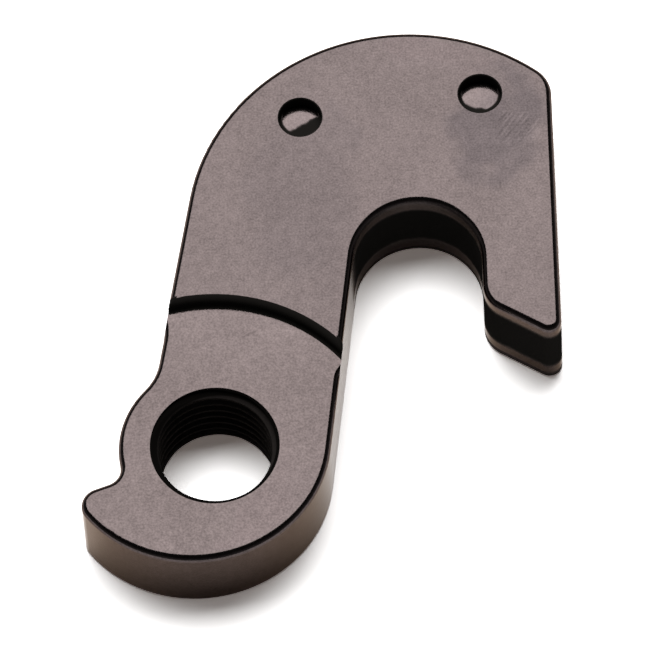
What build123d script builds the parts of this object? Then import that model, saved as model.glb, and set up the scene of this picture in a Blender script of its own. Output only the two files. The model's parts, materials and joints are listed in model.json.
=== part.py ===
# Bicycle derailleur hanger, milled from one piece of aluminium plate.
# It lies on its back face at z = 0 with the outer face up, and the origin is on the derailleur bolt's axis.
import os
from math import acos, atan2, cos, hypot, radians, sin, sqrt, tan

from build123d import *

os.makedirs("parts", exist_ok=True)

# Thicknesses: the lug's outer face lies one step below the plate's
plate_thickness = 8.0
step_height = 1.0
lug_thickness = plate_thickness - step_height

# Derailleur bolt hole, M10 x 1: the bore is cut to the thread's minor diameter and chamfered at both mouths
bore_diameter = 8.92
outer_mouth_chamfer = 0.59
back_mouth_chamfer = 0.15

# Axle slot
slot_x = 16.25
slot_y = 15.26
slot_width = 10.1

# Round end of the lug below the bore, out to the tip of the stop tab
lug_end_x = -1.6
lug_end_y = 0.8

# Left side of the lug: a cheek about the bore and the stop tab for the tension screw
cheek_radius = 7.5
stop_angle = 199.0
stop_length = 4.35
stop_tip_radius = 1.5
stop_pocket_radius = 1.4
neck_radius = 4.5

# Upper plate: its rear edge passes the bore's axis at an offset, and its crown's top lies above the bore
rear_edge_lean = 10.95
rear_edge_offset = 5.54
crown_height = 35.64
crown_radius = 17.27
front_corner_radius = 2.75

# Pointed foot in front of the slot
foot_width = 6.0
foot_y = 7.7
foot_slope = 31.5
foot_tip_radius = 1.0
foot_heel_radius = 2.5

# Step between the plate and the lug, an arc about a point just below the bore's axis
step_x = -0.3
step_y = -1.25
step_radius = 13.5
step_foot_radius = 0.25

# Blind pin holes in the plate's outer face
pin_diameter = 3.4
pin_depth = 1.1
pin_edge = 0.08
rear_pin_x = 7.42
rear_pin_y = 28.26
front_pin_x = 21.65
front_pin_y = 29.77

# Edges: chamfered on the back and rounded on the outer side, where the lug's rounding runs out before the step
back_edge_chamfer = 0.25
plate_edge_radius = 0.55
lug_edge_radius = 0.55
wall_runout_radius = 1.5
wall_runout_gap = 0.25
rear_runout_radius = 4.0
rear_runout_gap = 0.1

# How close a point counts as lying on an edge
touch = 1e-4

# Stop tab on a radius of the bore, and the round end that it reaches
stop_out = Vector(cos(radians(stop_angle)), sin(radians(stop_angle)))
stop_root = stop_out * cheek_radius
stop_tip = stop_out * (cheek_radius + stop_length)
lug_end_radius = hypot(stop_tip.X - lug_end_x, stop_tip.Y - lug_end_y)

# Wall shared by the slot and the lug: the inner tangent of the slot's arch and the lug's round end
slot_radius = slot_width / 2
span = hypot(slot_x - lug_end_x, slot_y - lug_end_y)
span_angle = atan2(slot_y - lug_end_y, slot_x - lug_end_x)
wall_lean = acos((slot_radius + lug_end_radius) / span) - span_angle
wall_out = Vector(cos(wall_lean), -sin(wall_lean))
wall_up = Vector(sin(wall_lean), cos(wall_lean))
wall_top = Vector(slot_x, slot_y) - wall_out * slot_radius
wall_bottom = Vector(lug_end_x, lug_end_y) + wall_out * lug_end_radius
slot_end = Vector(slot_x + slot_radius, slot_y)

# Crown, tangent to the rear edge, and the point where that edge meets the cheek
rear_lean = radians(rear_edge_lean)
rear_out = Vector(-cos(rear_lean), sin(rear_lean))
rear_up = Vector(sin(rear_lean), cos(rear_lean))
crown_y = crown_height - crown_radius
crown_x = (crown_radius - rear_edge_offset + crown_y * sin(rear_lean)) / cos(rear_lean)
rear_top = Vector(crown_x, crown_y) + rear_out * crown_radius
neck = rear_out * rear_edge_offset + rear_up * sqrt(cheek_radius**2 - rear_edge_offset**2)

# Front edge and foot
front_x = slot_end.X + foot_width
front_top = Vector(front_x, crown_y + sqrt(crown_radius**2 - (front_x - crown_x) ** 2))
foot_tip = Vector(front_x, foot_y)
foot_heel = Vector(slot_end.X, foot_y + foot_width * tan(radians(foot_slope)))

# Points half way round the arcs
arch_top = Vector(slot_x, slot_y + slot_radius)
end_low = Vector(lug_end_x, lug_end_y - lug_end_radius)
crown_top = Vector(crown_x, crown_height)
cheek_angle = (radians(stop_angle) + atan2(neck.Y, neck.X)) / 2
cheek_mid = Vector(cheek_radius * cos(cheek_angle), cheek_radius * sin(cheek_angle))

# Outline of the whole hanger, corners sharp first and then rounded
with BuildSketch() as outline:
    with BuildLine():
        Line(wall_top, wall_bottom)
        ThreePointArc(wall_bottom, end_low, stop_tip)
        Line(stop_tip, stop_root)
        ThreePointArc(stop_root, cheek_mid, neck)
        Line(neck, rear_top)
        ThreePointArc(rear_top, crown_top, front_top)
        Line(front_top, foot_tip)
        Line(foot_tip, foot_heel)
        Line(foot_heel, slot_end)
        ThreePointArc(slot_end, arch_top, wall_top)
    make_face()
    corners = [
        (stop_tip, stop_tip_radius),
        (stop_root, stop_pocket_radius),
        (neck, neck_radius),
        (front_top, front_corner_radius),
        (foot_tip, foot_tip_radius),
        (foot_heel, foot_heel_radius),
    ]
    for corner, radius in corners:
        fillet(outline.vertices().sort_by_distance(corner)[0], radius)
edge_of_outline = outline.face().outer_wire()

# Everything on the bore's side of the step
step_centre = Vector(step_x, step_y)
with BuildSketch() as lug_side:
    with Locations(step_centre):
        Circle(step_radius)

# Upper plate, its outer edge rounded all the way round and along the step
with BuildPart() as plate:
    with BuildSketch():
        add(outline.sketch)
        add(lug_side.sketch, mode=Mode.SUBTRACT)
    extrude(amount=plate_thickness)
    fillet(plate.faces().sort_by(Axis.Z)[-1].edges(), plate_edge_radius)


def runout_start(out, up, offset, radius, gap):
    """Where the lug's rounding starts to run out, on the straight edge at an offset from the bore's axis."""
    aside = offset - out.dot(step_centre)
    step_end = up.dot(step_centre) + sqrt(step_radius**2 - aside**2)
    swing = sqrt(2 * radius * lug_edge_radius + lug_edge_radius**2)
    return out * offset + up * (step_end - step_foot_radius - gap - swing)


wall_offset = wall_top.dot(wall_out)
wall_start = runout_start(wall_out, wall_up, wall_offset, wall_runout_radius, wall_runout_gap)
rear_start = runout_start(rear_out, rear_up, rear_edge_offset, rear_runout_radius, rear_runout_gap)

# Strip of the lug next to the step, between the two run-outs
reach = crown_height + lug_end_radius
inset = 2 * lug_edge_radius
with BuildSketch() as strip_side:
    with BuildLine():
        Polyline(
            rear_start + rear_out * reach,
            rear_start - rear_out * inset,
            wall_start - wall_out * inset,
            wall_start + wall_out * reach,
            wall_start + wall_out * reach + wall_up * reach,
            rear_start + rear_out * reach + rear_up * reach,
            close=True,
        )
    make_face()


def rounding_cutter(radius):
    """Shape swept by the rounding cutter as it swings away from the edge, its axis at the origin."""
    with BuildPart() as cutter:
        with BuildSketch(Plane.XZ):
            with BuildLine():
                Polyline(
                    (radius, lug_thickness - lug_edge_radius),
                    (0, lug_thickness - lug_edge_radius),
                    (0, plate_thickness),
                    (radius + lug_edge_radius, plate_thickness),
                    (radius + lug_edge_radius, lug_thickness),
                )
                RadiusArc(
                    (radius + lug_edge_radius, lug_thickness),
                    (radius, lug_thickness - lug_edge_radius),
                    -lug_edge_radius,
                )
            make_face()
        revolve(axis=Axis.Z)
    return cutter.part


with BuildPart() as strip:
    with BuildSketch():
        add(outline.sketch)
        add(lug_side.sketch, mode=Mode.INTERSECT)
        add(strip_side.sketch, mode=Mode.INTERSECT)
    extrude(amount=lug_thickness)
    with Locations(wall_start + wall_out * wall_runout_radius):
        add(rounding_cutter(wall_runout_radius), mode=Mode.SUBTRACT)
    with Locations(rear_start + rear_out * rear_runout_radius):
        add(rounding_cutter(rear_runout_radius), mode=Mode.SUBTRACT)

# Rest of the lug, its outer edge fully rounded
with BuildPart() as lug:
    with BuildSketch():
        add(outline.sketch)
        add(lug_side.sketch, mode=Mode.INTERSECT)
        add(strip_side.sketch, mode=Mode.SUBTRACT)
    extrude(amount=lug_thickness)
    rim = lug.faces().sort_by(Axis.Z)[-1].edges()
    lift = Vector(0, 0, lug_thickness)
    fillet([e for e in rim if edge_of_outline.distance_to((e @ 0.5) - lift) < touch], lug_edge_radius)

with BuildPart() as hanger:
    add(plate.part)
    add(strip.part)
    add(lug.part)

    # Concave foot of the step
    level = hanger.edges().filter_by_position(Axis.Z, lug_thickness - touch, lug_thickness + touch)
    on_step = [e for e in level if lug_side.face().outer_wire().distance_to((e @ 0.5) - lift) < touch]
    fillet(on_step, step_foot_radius)

    # Back edges
    chamfer(hanger.faces().sort_by(Axis.Z)[0].edges(), back_edge_chamfer)

    # Derailleur bolt hole
    Hole(bore_diameter / 2)
    back_mouth, outer_mouth = hanger.edges(Select.LAST).filter_by(GeomType.CIRCLE).sort_by(Axis.Z)
    chamfer(outer_mouth, outer_mouth_chamfer)
    chamfer(back_mouth, back_mouth_chamfer)

    # Pin holes, flat at the bottom
    with Locations((rear_pin_x, rear_pin_y, plate_thickness), (front_pin_x, front_pin_y, plate_thickness)):
        Hole(pin_diameter / 2, depth=pin_depth)
    pin_rims = hanger.edges(Select.LAST).filter_by(GeomType.CIRCLE).group_by(Axis.Z)[-1]
    chamfer(pin_rims, pin_edge)

hanger.part.label = "hanger"
export_step(hanger.part, "parts/hanger.step")
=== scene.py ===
import json
from math import cos, pi, radians, sin

import bpy
import numpy as np
from mathutils import Matrix, Vector


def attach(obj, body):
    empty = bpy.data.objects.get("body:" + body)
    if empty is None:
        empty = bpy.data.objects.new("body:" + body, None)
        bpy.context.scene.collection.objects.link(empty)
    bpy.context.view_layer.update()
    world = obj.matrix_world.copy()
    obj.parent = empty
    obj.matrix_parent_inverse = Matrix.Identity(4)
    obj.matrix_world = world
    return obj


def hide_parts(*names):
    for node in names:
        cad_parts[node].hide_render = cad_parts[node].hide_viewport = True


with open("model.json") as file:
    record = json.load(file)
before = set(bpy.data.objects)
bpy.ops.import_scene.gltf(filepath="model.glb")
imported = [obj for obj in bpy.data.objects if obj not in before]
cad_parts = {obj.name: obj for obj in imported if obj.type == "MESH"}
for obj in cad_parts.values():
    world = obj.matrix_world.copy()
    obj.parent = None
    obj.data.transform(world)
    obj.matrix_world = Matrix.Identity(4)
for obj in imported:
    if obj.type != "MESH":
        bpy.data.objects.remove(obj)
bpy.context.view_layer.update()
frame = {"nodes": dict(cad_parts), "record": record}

# Hanger: one piece of aluminium plate, milled to its outline and lowered round the derailleur hole.
# The solid's faces keep their shape. They are welded into one skin, evenly shaded on the rounded edges,
# and the plain bore comes out of it to make room for the thread.
mounts = {mount["name"]: mount for mount in frame["record"]["mounts"]}
weld_gap = 1e-7
rim_gap = 10 * weld_gap
plate_top = mounts["axle_nut_face"]["pos_m"][2]
step_height = 0.0010
lug_top = plate_top - step_height
edge_rounding = 0.00055
rounding_slack = 0.01
rounding_likeness = 0.28
same_way = cos(radians(20.0))
bore_radius = mounts["derailleur_thread"]["dims"]["r_mm"] / 1000
outer_mouth_chamfer, back_mouth_chamfer = 0.00059, 0.00015
outer_mouth_radius = bore_radius + outer_mouth_chamfer
back_mouth_radius = bore_radius + back_mouth_chamfer


def read_solid(mesh):
    """Points, triangles and corner normals of a mesh of triangles, as arrays."""
    points = np.empty((len(mesh.vertices), 3), dtype=np.float32)
    triangles = np.empty((len(mesh.polygons), 3), dtype=np.int32)
    normals = np.empty((len(mesh.polygons), 3, 3), dtype=np.float32)
    mesh.vertices.foreach_get("co", points.ravel())
    mesh.loops.foreach_get("vertex_index", triangles.ravel())
    mesh.corner_normals.foreach_get("vector", normals.ravel())
    return points.astype(float), triangles, normals.astype(float)


def weld(points, triangles, normals):
    """Points closer than the weld gap become one, and triangles that shrink to a line are dropped."""
    whole_gaps = np.round(points / weld_gap)
    _, kept, place = np.unique(whole_gaps, axis=0, return_index=True, return_inverse=True)
    triangles = place.ravel()[triangles]
    whole = (triangles != np.roll(triangles, 1, axis=1)).all(axis=1)
    return points[kept], triangles[whole], normals[whole]


def even_rounding(points, triangles, normals, top):
    """Corner normals made exact on the rounding under an outer face. There the share that points up grows
    with height as on a quarter circle, and the rest takes the mean direction in plan of the corners that
    meet. Triangles that lie flat keep their normals."""
    height = (points[triangles, 2] - top + edge_rounding) / edge_rounding
    on_arc = (height > -rounding_slack) & (height < 1 + rounding_slack)
    on_arc &= np.abs(normals[..., 2] - height) < rounding_likeness
    on = on_arc.all(axis=1) & (np.ptp(height, axis=1) > rounding_slack)
    height = np.clip(height[on], 0, 1)[..., None]
    plan = normals[on][..., :2]
    plan = plan / np.linalg.norm(plan, axis=-1, keepdims=True)
    total = np.zeros((len(points), 2))
    np.add.at(total, triangles[on], plan)
    mean = total[triangles[on]] / np.linalg.norm(total[triangles[on]], axis=-1, keepdims=True)
    alike = (mean * plan).sum(axis=-1, keepdims=True) > same_way
    evened = normals.copy()
    evened[on] = np.concatenate([np.where(alike, mean, plan) * np.sqrt(1 - height**2), height], axis=-1)
    return evened


plate_points, plate_triangles, plate_normals = weld(*read_solid(frame["nodes"]["hanger"].data))
plate_normals = even_rounding(plate_points, plate_triangles, plate_normals, plate_top)
plate_normals = even_rounding(plate_points, plate_triangles, plate_normals, lug_top)
near_axis = np.hypot(plate_points[:, 0], plate_points[:, 1]) < outer_mouth_radius + rim_gap
in_bore = near_axis[plate_triangles].all(axis=1)
plate_triangles = plate_triangles[~in_bore]
plate_normals = plate_normals[~in_bore]

# Derailleur thread: M10 x 1, right-handed, tapped through the lug from the outer face. It starts in that
# face's 45-degree mouth, and its last turn fades out above the small chamfer at the back.
# Its wall is one surface of turn and height, and a narrow ring joins each end to the rim of the flat face.
thread_pitch = 0.001
crest_radius = bore_radius
root_radius = 0.0050
crest_share = 0.25
root_share = 0.125
fade_from = 0.0011
fade_to = 0.0003
ring_depth = 0.00004
thread_columns = 160
rows_to_a_pitch = 16


def thread_depth(along):
    """Share of the full depth against distance in pitches: 1 at the flat root, down each straight flank,
    0 at the flat crest."""
    from_root = np.abs(along % 1.0 - 0.5)
    flank = (from_root - root_share / 2) / (0.5 - crest_share / 2 - root_share / 2)
    return 1 - np.clip(flank, 0, 1)


def on_hole(radius, angle, height):
    """Points at a radius and an angle about the bolt's axis."""
    return np.stack([radius * np.cos(angle), radius * np.sin(angle), height], axis=-1)


def facing_axis(angle, flare):
    """Unit normals that look at the bolt's axis and lean up as the wall's radius grows with height."""
    return on_hole(-1.0, angle, flare) / np.sqrt(1 + flare**2)[..., None]


def tapped_wall():
    """The hole's wall on a grid of helix rows and columns round the axis. A row climbs one pitch in a turn
    and is held between the two rings. The radius is that of the thread or of the mouth's cone, whichever
    is larger, and the thread gets shallower towards the back."""
    turn = np.linspace(0, 1, thread_columns + 1)
    row = np.arange(-rows_to_a_pitch, lug_top / thread_pitch * rows_to_a_pitch + 1) / rows_to_a_pitch
    row, turn = np.meshgrid(row, turn, indexing="ij")
    height = np.clip((row + turn) * thread_pitch, ring_depth, lug_top - ring_depth)
    cone = np.maximum(outer_mouth_radius - lug_top + height, back_mouth_radius - height)
    full = np.clip((height - fade_to) / (fade_from - fade_to), 0, 1)
    thread = crest_radius + (root_radius - crest_radius) * thread_depth(row) * full
    radius = np.maximum(thread, cone)
    angle = 2 * pi * turn
    climb = np.diff(height, axis=0)
    flare = np.diff(radius, axis=0) / np.where(climb > 0, climb, 1)
    index = np.arange(height.size).reshape(height.shape)
    low_left, low_right = index[:-1, :-1], index[:-1, 1:]
    high_left, high_right = index[1:, :-1], index[1:, 1:]
    lower = np.stack([low_left, high_right, low_right], axis=-1)
    upper = np.stack([low_left, high_left, high_right], axis=-1)
    triangles = np.stack([lower, upper], axis=2)
    left = facing_axis(angle[:-1, :-1], flare[:, :-1])
    right = facing_axis(angle[:-1, 1:], flare[:, 1:])
    lower_normals = np.stack([left, right, right], axis=-2)
    upper_normals = np.stack([left, left, right], axis=-2)
    normals = np.stack([lower_normals, upper_normals], axis=2)
    points = on_hole(radius, angle, height)
    return points.reshape(-1, 3), triangles.reshape(-1, 3), normals.reshape(-1, 3, 3)


def mouth_ring(rim, wall_end, up):
    """Strip of the mouth's cone between the face's rim and the end of the wall. The points of both are
    taken in order of angle, and each makes a triangle with the last point on either side. Up is 1 on the
    outer face and -1 on the back."""
    rim_angle = np.arctan2(rim[:, 1], rim[:, 0]) % (2 * pi)
    end_angle = np.arctan2(wall_end[:, 1], wall_end[:, 0]) % (2 * pi)
    rim_order, end_order = np.argsort(rim_angle), np.argsort(end_angle)
    points = np.concatenate([rim[rim_order], wall_end[end_order]])
    angles = np.concatenate([rim_angle[rim_order], end_angle[end_order]])
    order = np.argsort(angles, kind="stable")
    from_rim = order < len(rim)
    last_rim = (np.cumsum(from_rim) - 1 - from_rim) % len(rim)
    last_end = (np.cumsum(~from_rim) - 1 - ~from_rim) % len(wall_end) + len(rim)
    triangles = np.stack([last_rim, order, last_end] if up > 0 else [last_rim, last_end, order], axis=-1)
    normals = facing_axis(angles, np.full(len(angles), float(up)))
    return points, triangles, normals[triangles]


def rim_at(height):
    """Points of the flat face's hole edge at a height."""
    on_rim = near_axis & (np.abs(plate_points[:, 2] - height) < rim_gap)
    on_rim[np.setdiff1d(np.arange(len(on_rim)), plate_triangles)] = False
    return plate_points[on_rim]


def without_doubles(points):
    """The points with each place kept once."""
    return points[np.unique(np.round(points / weld_gap), axis=0, return_index=True)[1]]


wall = tapped_wall()
wall_heights = wall[0][:, 2]
wall_top = without_doubles(wall[0][wall_heights > lug_top - ring_depth - weld_gap])
wall_bottom = without_doubles(wall[0][wall_heights < ring_depth + weld_gap])
surfaces = [
    (plate_points, plate_triangles, plate_normals),
    wall,
    mouth_ring(rim_at(lug_top), wall_top, 1),
    mouth_ring(rim_at(0), wall_bottom, -1),
]
starts = np.cumsum([0] + [len(points) for points, _, _ in surfaces])
skin_points, skin_triangles, skin_normals = weld(
    np.concatenate([points for points, _, _ in surfaces]),
    np.concatenate([triangles + start for (_, triangles, _), start in zip(surfaces, starts)]),
    np.concatenate([normals for _, _, normals in surfaces]),
)
skin = bpy.data.meshes.new("hanger_skin")
skin.from_pydata(skin_points, [], skin_triangles)
skin.polygons.foreach_set("use_smooth", np.ones(len(skin_triangles), dtype=bool))
skin.normals_split_custom_set(skin_normals.reshape(-1, 3))
hanger = bpy.data.objects.new("hanger_finished", skin)
bpy.context.scene.collection.objects.link(hanger)
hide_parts("hanger")
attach(hanger, "root")


# Finish: black-brown anodise, a thin dyed oxide over the metal. The faces and the lug's walls are satin.
# The plate's walls and the thread are as they were cut, dull and black, and on those walls two narrow
# lands are left smooth by the tools that broke the edges. Painted shade blackens the step's rounding, the
# bore's mouth and the pin holes, and darkens the foot of the plate's walls and the lands in the arch. A
# painted highlight lightens part of each pin floor. The outer face has stains and rubs.
satin_colour = (0.0470, 0.0377, 0.0369, 1.0)
stain_colour = (0.0350, 0.0286, 0.0290, 1.0)
# The as-cut colour also colours the painted shade at the walls' foot, in the arch and in the pin holes
cut_and_shade_colour = (0.0140, 0.0127, 0.0114, 1.0)
# The blackest colour is painted shade, on the bore's mouth and the step's rounding
painted_shade_colour = (0.0045, 0.0040, 0.0036, 1.0)
edge_tint = (0.64, 0.575, 0.525, 1.0)
satin_roughness, roughness_spread = 0.14, 0.06
cut_roughness = 0.80
grain_size, mottle_size, cloud_size = 0.00016, 0.0006, 0.0070
grain_share, mottle_share, cloud_share = 1.10, 0.50, 0.35
grain_depth, grain_strength = 0.00001, 0.5
patch_edge = 0.9


def add(tree, kind, inputs=None, **settings):
    """Adds a node to a tree, sets its properties, and fills or links its inputs."""
    made = tree.nodes.new(kind)
    for name, value in settings.items():
        setattr(made, name, value)
    for name, value in (inputs or {}).items():
        if isinstance(value, bpy.types.NodeSocket):
            tree.links.new(value, made.inputs[name])
        else:
            made.inputs[name].default_value = value
    return made


def calc(tree, operation, *values):
    """One step of arithmetic on sockets and numbers."""
    return add(tree, "ShaderNodeMath", dict(enumerate(values)), operation=operation).outputs[0]


def times(tree, first, *others):
    """Product of sockets and numbers: what all the masks share."""
    for other in others:
        first = calc(tree, "MULTIPLY", first, other)
    return first


def most(tree, first, *others):
    """Largest of several masks: what any of them covers."""
    for other in others:
        first = calc(tree, "MAXIMUM", first, other)
    return first


def rise(tree, value, ramp):
    """0 up to the ramp's start, 1 from its end on, smooth between. A start above the end gives a fall."""
    limits = {"Value": value, "From Min": ramp[0], "From Max": ramp[1]}
    return add(tree, "ShaderNodeMapRange", limits, interpolation_type="SMOOTHSTEP").outputs["Result"]


def measure(tree, operation, first, second):
    """Number that a vector operation gives for two vectors, such as their distance."""
    return add(tree, "ShaderNodeVectorMath", {0: first, 1: second}, operation=operation).outputs["Value"]


def cloud(tree, place, size, detail=2.0):
    """Noise about zero, in patches of a size in metres."""
    noise = add(tree, "ShaderNodeTexNoise", {"Vector": place, "Scale": 1 / size, "Detail": detail})
    return calc(tree, "SUBTRACT", noise.outputs["Fac"], 0.5)


def mixed(tree, share, first, second):
    """Colour between two others, by a share of the second."""
    return add(tree, "ShaderNodeMix", {0: share, 6: first, 7: second}, data_type="RGBA").outputs[2]


def patch(tree, place, centre, half_sizes, turn=0.0, ragged=0.0, soft=0.2):
    """1 inside an ellipse of the outer face, 0 outside. Its edge lies at a set share of the half sizes, is
    soft by a share of them on both sides, and is made ragged by noise."""
    sizes = {"Location": (*centre, 0), "Rotation": (0, 0, radians(turn)), "Scale": (*half_sizes, 1)}
    local = add(tree, "ShaderNodeMapping", {"Vector": place, **sizes}, vector_type="TEXTURE").outputs[0]
    away = add(tree, "ShaderNodeVectorMath", {0: local}, operation="LENGTH").outputs["Value"]
    away = calc(tree, "MULTIPLY_ADD", cloud(tree, place, min(half_sizes)), ragged, away)
    return rise(tree, away, (patch_edge + soft, patch_edge - soft))


anodise = bpy.data.materials.new("black_brown_anodise")
anodise.use_nodes = True
tree = anodise.node_tree
place = add(tree, "ShaderNodeTexCoord").outputs["Object"]
x, y, z = add(tree, "ShaderNodeSeparateXYZ", {0: place}).outputs
in_plan = add(tree, "ShaderNodeCombineXYZ", {0: x, 1: y}).outputs[0]
normal = add(tree, "ShaderNodeNewGeometry").outputs["Normal"]

# How level the surface lies: 1 on the flat faces, 0 on the upright walls
level = calc(tree, "ABSOLUTE", add(tree, "ShaderNodeSeparateXYZ", {0: normal}).outputs["Z"])

# As-cut walls: upright faces between the two lands, from the slot's arch and the step's ends to the foot.
# Painted shade darkens the lowest part of these walls, and the lands in the arch, standing for their dark
# reflection of the shaded floor.
wall_level, arch_level = (0.35, 0.15), (0.80, 0.50)
low_land, high_land = (0.00150, 0.00224), (0.00704, 0.00630)
waver_size, waver = 0.0012, 0.0005
low_shade_top, low_shade_share = (0.00094, 0.00062), 0.65
start_slope, start_height = -0.18, (0.0120, 0.0150)
foot_start = (0.0135, 0.0145)
slot_centre = mounts["axle_slot"]["pos_m"][:2]
arch_reach = (0.0062, 0.0062)
arch_start = (slot_centre[1], slot_centre[1] + 0.0025)
arch_shade_share = 0.48

low_edge = calc(tree, "MULTIPLY_ADD", cloud(tree, place, waver_size, detail=3.0), waver, z)
between = times(tree, rise(tree, low_edge, low_land), rise(tree, z, high_land))
low_wall_shade = times(tree, rise(tree, z, low_shade_top), low_shade_share)
above_step = rise(tree, calc(tree, "MULTIPLY_ADD", x, start_slope, y), start_height)
upper = most(tree, above_step, rise(tree, x, foot_start))
walls = times(tree, most(tree, between, low_wall_shade), upper, rise(tree, level, wall_level))
in_arch = times(tree, patch(tree, place, slot_centre, arch_reach), rise(tree, y, arch_start))
arch_land_shade = times(tree, in_arch, rise(tree, level, arch_level), arch_shade_share)

# Step: painted shade, dull and black, on the rounding from the edge of the plate's face down to the lug's
step_centre, step_radius = (-0.0003, -0.00125, 0), 0.0135
step_inner = (step_radius - 0.0004, step_radius - 0.0003)
step_outer = (step_radius + 0.0007, step_radius + 0.0006)
step_bottom = (lug_top - 0.0002, lug_top)
step_level = (0.9995, 0.9950)

from_step = measure(tree, "DISTANCE", in_plan, step_centre)
near_step = times(tree, rise(tree, from_step, step_inner), rise(tree, from_step, step_outer))
step = times(tree, near_step, rise(tree, z, step_bottom), rise(tree, level, step_level))

# Thread: dull, and with painted shade blackest in the mouth
hole_edge = (outer_mouth_radius + 0.000002, outer_mouth_radius - 0.000004)
hole_bottom = (0.00001, 0.00003)
mouth_bottom = (0.0063, 0.0065)
thread_share = 0.80

from_axis = measure(tree, "DISTANCE", in_plan, (0, 0, 0))
in_hole = times(tree, rise(tree, from_axis, hole_edge), rise(tree, z, hole_bottom))
mouth = times(tree, in_hole, rise(tree, z, mouth_bottom))
thread = most(tree, times(tree, in_hole, thread_share), mouth)

# Pin holes: painted shade, dull and dark, on their walls and floors, but for a part of each floor on the
# crown's side, which stays satin with a painted highlight
rear_pin, front_pin = (mounts[name]["pos_m"][:2] for name in ("rear_pin_hole", "front_pin_hole"))
rear_line, rear_line_way = (0.00762, 0.02819, 0), -61.0
front_line, front_line_way = (0.02140, 0.02907, 0), -109.0
line_noise_size, line_ragged, line_blur = 0.0005, 0.0004, (0.00016, -0.00016)
pin_reach = (0.0026, 0.0026)
pin_side_level = (0.90, 0.75)
pin_floor = (0.0073, 0.0072)
bright_reach, bright_shift = (0.00164, 0.00164), 0.00056
bright_ragged, bright_soft = 0.1, 0.06


def pin_highlight_floor(pin, line_point, line_way):
    """1 on the painted highlight of a pin hole's floor: a disc set off towards the crown and cut off by a
    line.
    The line is given by a point on it and the direction, in degrees, in which the disc is cut off."""
    centre = (pin[0], pin[1] + bright_shift)
    disc = patch(tree, place, centre, bright_reach, ragged=bright_ragged, soft=bright_soft)
    from_point = add(tree, "ShaderNodeVectorMath", {0: place, 1: line_point}, operation="SUBTRACT")
    across = (cos(radians(line_way)), sin(radians(line_way)), 0)
    far = measure(tree, "DOT_PRODUCT", from_point.outputs[0], across)
    far = calc(tree, "MULTIPLY_ADD", cloud(tree, place, line_noise_size), line_ragged, far)
    return times(tree, disc, rise(tree, far, line_blur))


at_pins = most(tree, patch(tree, place, rear_pin, pin_reach), patch(tree, place, front_pin, pin_reach))
on_floor = times(tree, at_pins, rise(tree, z, pin_floor))
pin_highlight = most(
    tree,
    pin_highlight_floor(rear_pin, rear_line, rear_line_way),
    pin_highlight_floor(front_pin, front_line, front_line_way),
)
pin_highlight = times(tree, on_floor, pin_highlight)
pin_sides = times(tree, at_pins, rise(tree, level, pin_side_level))
pin_hole_shade = most(tree, calc(tree, "SUBTRACT", on_floor, pin_highlight), pin_sides)
# Dull and black where as cut, and where painted shade lies on the step, the mouth, the pin holes, the walls'
# foot and the arch
cut = most(tree, walls, arch_land_shade, step, thread, pin_hole_shade)

# Stains: one round the front pin hole, a fainter one beside the rear one and a wide one below that
front_stain = dict(centre=(0.0229, 0.0264), half_sizes=(0.0038, 0.0047), turn=-15.0, ragged=1.6, soft=0.3)
rear_stain = dict(centre=(0.0104, 0.0270), half_sizes=(0.0016, 0.0026), turn=15.0, ragged=1.6)
wide_stain = dict(centre=(0.0072, 0.0212), half_sizes=(0.0042, 0.0095), ragged=1.2, soft=0.3)
faint_share = 0.35

faint = most(tree, patch(tree, place, **rear_stain), patch(tree, place, **wide_stain))
stain = most(tree, patch(tree, place, **front_stain), times(tree, faint, faint_share))

# Rubs: scratches below the front pin hole, and a short dark nick with a pale smear under the step
scratched = dict(centre=(0.0246, 0.0266), half_sizes=(0.0018, 0.0016), ragged=0.8)
nicked = dict(centre=(0.0030, 0.00968), half_sizes=(0.00065, 0.00013), turn=25.0, ragged=0.6)
smeared = dict(centre=(0.0054, 0.00975), half_sizes=(0.0022, 0.00022), turn=-3.0, ragged=1.2)
stroke_way, stroke_size = 52.0, (0.0025, 0.00022, 1)

stroke_map = {"Vector": place, "Rotation": (0, 0, radians(stroke_way)), "Scale": stroke_size}
strokes = add(tree, "ShaderNodeMapping", stroke_map, vector_type="TEXTURE").outputs[0]
scratches = times(tree, cloud(tree, strokes, size=1.0, detail=1.0), patch(tree, place, **scratched))
nick = patch(tree, place, **nicked)
smear = patch(tree, place, **smeared)

# Tone of the dye: grain, mottling and clouds all over, a lighter lug, a painted highlight on the pin floors,
# and the rubs
lug_face, face_level = (plate_top - 0.0002, lug_top + 0.0002), (0.90, 0.98)
lug_share, pin_highlight_share = 0.05, 0.30
scratch_share, nick_share, smear_share = 1.1, -0.30, 0.10

lug = times(tree, rise(tree, z, lug_face), rise(tree, level, face_level))
changes = [
    (cloud(tree, place, grain_size), grain_share),
    (cloud(tree, place, mottle_size, detail=3.0), mottle_share),
    (cloud(tree, place, cloud_size, detail=3.0), cloud_share),
    (lug, lug_share),
    (pin_highlight, pin_highlight_share),
    (scratches, scratch_share),
    (nick, nick_share),
    (smear, smear_share),
]
tone = 1.0
for mask, share in changes:
    tone = calc(tree, "MULTIPLY_ADD", mask, share, tone)
dye_and_highlight_parts = {0: mixed(tree, stain, satin_colour, stain_colour), "Scale": tone}
dye_and_highlight = add(tree, "ShaderNodeVectorMath", dye_and_highlight_parts, operation="SCALE").outputs[0]

# Shader: the satin is metal under its dye, and what is as cut and what carries painted shade are dull and
# black
# How far the step's painted shade goes towards the blackest colour
step_blackness = 0.4

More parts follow.
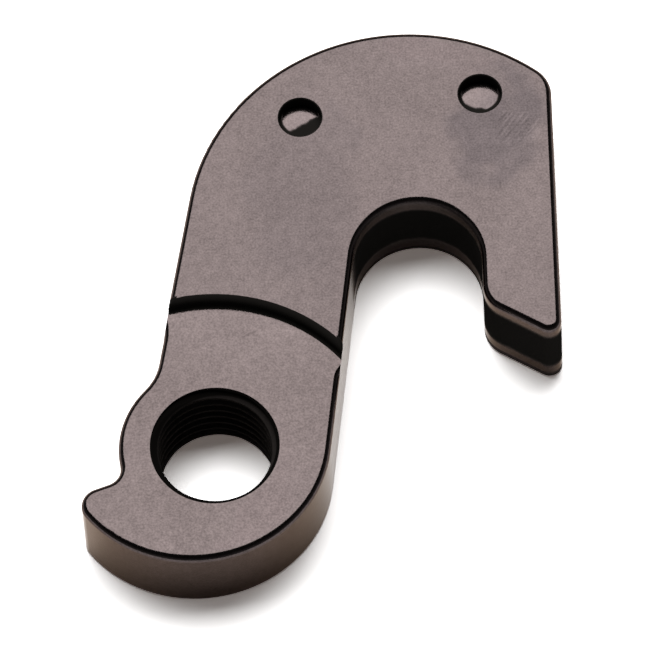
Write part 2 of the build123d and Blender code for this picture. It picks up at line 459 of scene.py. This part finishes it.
shader = tree.nodes["Principled BSDF"]
cut_and_shade_base = mixed(tree, most(tree, mouth, times(tree, step, step_blackness)), cut_and_shade_colour, painted_shade_colour)
matt = calc(tree, "MULTIPLY_ADD", cloud(tree, place, mottle_size), roughness_spread, satin_roughness)
grain = add(tree, "ShaderNodeTexNoise", {"Vector": place, "Scale": 1 / grain_size, "Detail": 2.0})
relief = {"Height": grain.outputs["Fac"], "Strength": grain_strength, "Distance": grain_depth}
tree.links.new(mixed(tree, cut, dye_and_highlight, cut_and_shade_base), shader.inputs["Base Color"])
tree.links.new(calc(tree, "SUBTRACT", 1.0, cut), shader.inputs["Metallic"])
dulled = calc(tree, "MULTIPLY_ADD", cut, cut_roughness - satin_roughness, matt)
tree.links.new(dulled, shader.inputs["Roughness"])
tree.links.new(add(tree, "ShaderNodeBump", relief).outputs[0], shader.inputs["Normal"])
shader.inputs["Specular Tint"].default_value = edge_tint
shader.inputs["Specular IOR Level"].default_value = 0.0
skin.materials.append(anodise)


# Floor: a plain white table top under the hanger, which lies on its back face.
# What the camera and reflections see of it is lifted to white, and the softbox's shadow stays on it.
floor_reach = 4.0
floor_white = (0.90, 0.90, 0.90, 1.0)
floor_seen = (1.95, 1.95, 1.95, 1.0)
floor_lift = (0.100, 0.082, 0.073, 1.0)

floor_mesh = bpy.data.meshes.new("table_top")
side = np.array([-1, 1]) * floor_reach
floor_grid = np.stack([*np.meshgrid(side, side), np.zeros((2, 2))], axis=-1).reshape(-1, 3)
floor_mesh.from_pydata(floor_grid, [], [(0, 1, 3, 2)])
table_top = bpy.data.objects.new("table_top", floor_mesh)
bpy.context.scene.collection.objects.link(table_top)

table_white = bpy.data.materials.new("table_white")
table_white.use_nodes = True
tree = table_white.node_tree
tree.nodes.remove(tree.nodes["Principled BSDF"])
rays = add(tree, "ShaderNodeLightPath").outputs
seen = most(tree, rays["Is Camera Ray"], rays["Is Glossy Ray"], rays["Is Transmission Ray"])
lit = add(tree, "ShaderNodeBsdfDiffuse", {"Color": mixed(tree, seen, floor_white, floor_seen)})
lift = add(tree, "ShaderNodeEmission", {"Color": floor_lift, "Strength": seen})
both = add(tree, "ShaderNodeAddShader", {0: lit.outputs[0], 1: lift.outputs[0]})
tree.links.new(both.outputs[0], tree.nodes["Material Output"].inputs["Surface"])
floor_mesh.materials.append(table_white)


# Light: one wide softbox above and behind, a little to the left, which the outer face mirrors to the camera.
# The room about it is dim, and lighter low down than overhead, so that edges turn dark and walls stay brown.
softbox_distance = 1.2
softbox_width, softbox_depth = 1.20, 0.85
softbox_height_angle = radians(64.0)
softbox_left_angle = radians(8.0)
softbox_radiance = 5.9
room_low, room_high, room_top = 0.28, 0.05, 0.75

to_softbox = Vector((
    -cos(softbox_height_angle) * sin(softbox_left_angle),
    cos(softbox_height_angle) * cos(softbox_left_angle),
    sin(softbox_height_angle),
))
softbox_light = bpy.data.lights.new("softbox", "AREA")
softbox_light.shape = "RECTANGLE"
softbox_light.size = softbox_width
softbox_light.size_y = softbox_depth
softbox_light.energy = softbox_radiance * pi * softbox_width * softbox_depth
softbox = bpy.data.objects.new("softbox", softbox_light)
facing_hanger = to_softbox.to_track_quat("Z", "Y").to_matrix().to_4x4()
softbox.matrix_world = Matrix.Translation(to_softbox * softbox_distance) @ facing_hanger
bpy.context.scene.collection.objects.link(softbox)

room = bpy.data.worlds.new("dim_room")
room.use_nodes = True
tree = room.node_tree
way = add(tree, "ShaderNodeTexCoord").outputs["Generated"]
way_up = add(tree, "ShaderNodeSeparateXYZ", {0: way}).outputs["Z"]
limits = {"Value": way_up, "From Min": 0.0, "From Max": room_top, "To Min": room_low, "To Max": room_high}
grey = add(tree, "ShaderNodeMapRange", limits, interpolation_type="SMOOTHSTEP").outputs["Result"]
tree.links.new(grey, tree.nodes["Background"].inputs["Color"])
bpy.context.scene.world = room

# Camera: a long lens, well above the table and close to the line of the hanger's front edge.
# It looks along +Y and down, and is then turned a little about the bolt's axis. It is rolled a little too.
image_width = 665
camera_distance = 0.800
camera_height_angle = radians(62.14)
camera_turn = radians(1.5)
camera_roll = radians(3.54)
pixels_to_a_metre = 12785.0
aim_right = 0.0096628
aim_up = 0.0114505
sensor_width = 36.0
nearest_seen = 0.01

ahead = Vector((0, cos(camera_height_angle), -sin(camera_height_angle)))
right = Vector((1, 0, 0))
up = Vector((0, sin(camera_height_angle), cos(camera_height_angle)))
stand = right * aim_right + up * aim_up - ahead * camera_distance
rolled_right = right * cos(camera_roll) - up * sin(camera_roll)
rolled_up = right * sin(camera_roll) + up * cos(camera_roll)
pose = Matrix((rolled_right, rolled_up, -ahead)).transposed().to_4x4()
lens = bpy.data.cameras.new("camera")
lens.sensor_width = sensor_width
lens.lens = sensor_width * pixels_to_a_metre * camera_distance / image_width
lens.clip_start = nearest_seen
camera = bpy.data.objects.new("camera", lens)
camera.matrix_world = Matrix.Rotation(camera_turn, 4, "Z") @ Matrix.Translation(stand) @ pose
bpy.context.scene.collection.objects.link(camera)
bpy.context.scene.camera = camera
bpy.context.scene.view_settings.view_transform = "Standard"
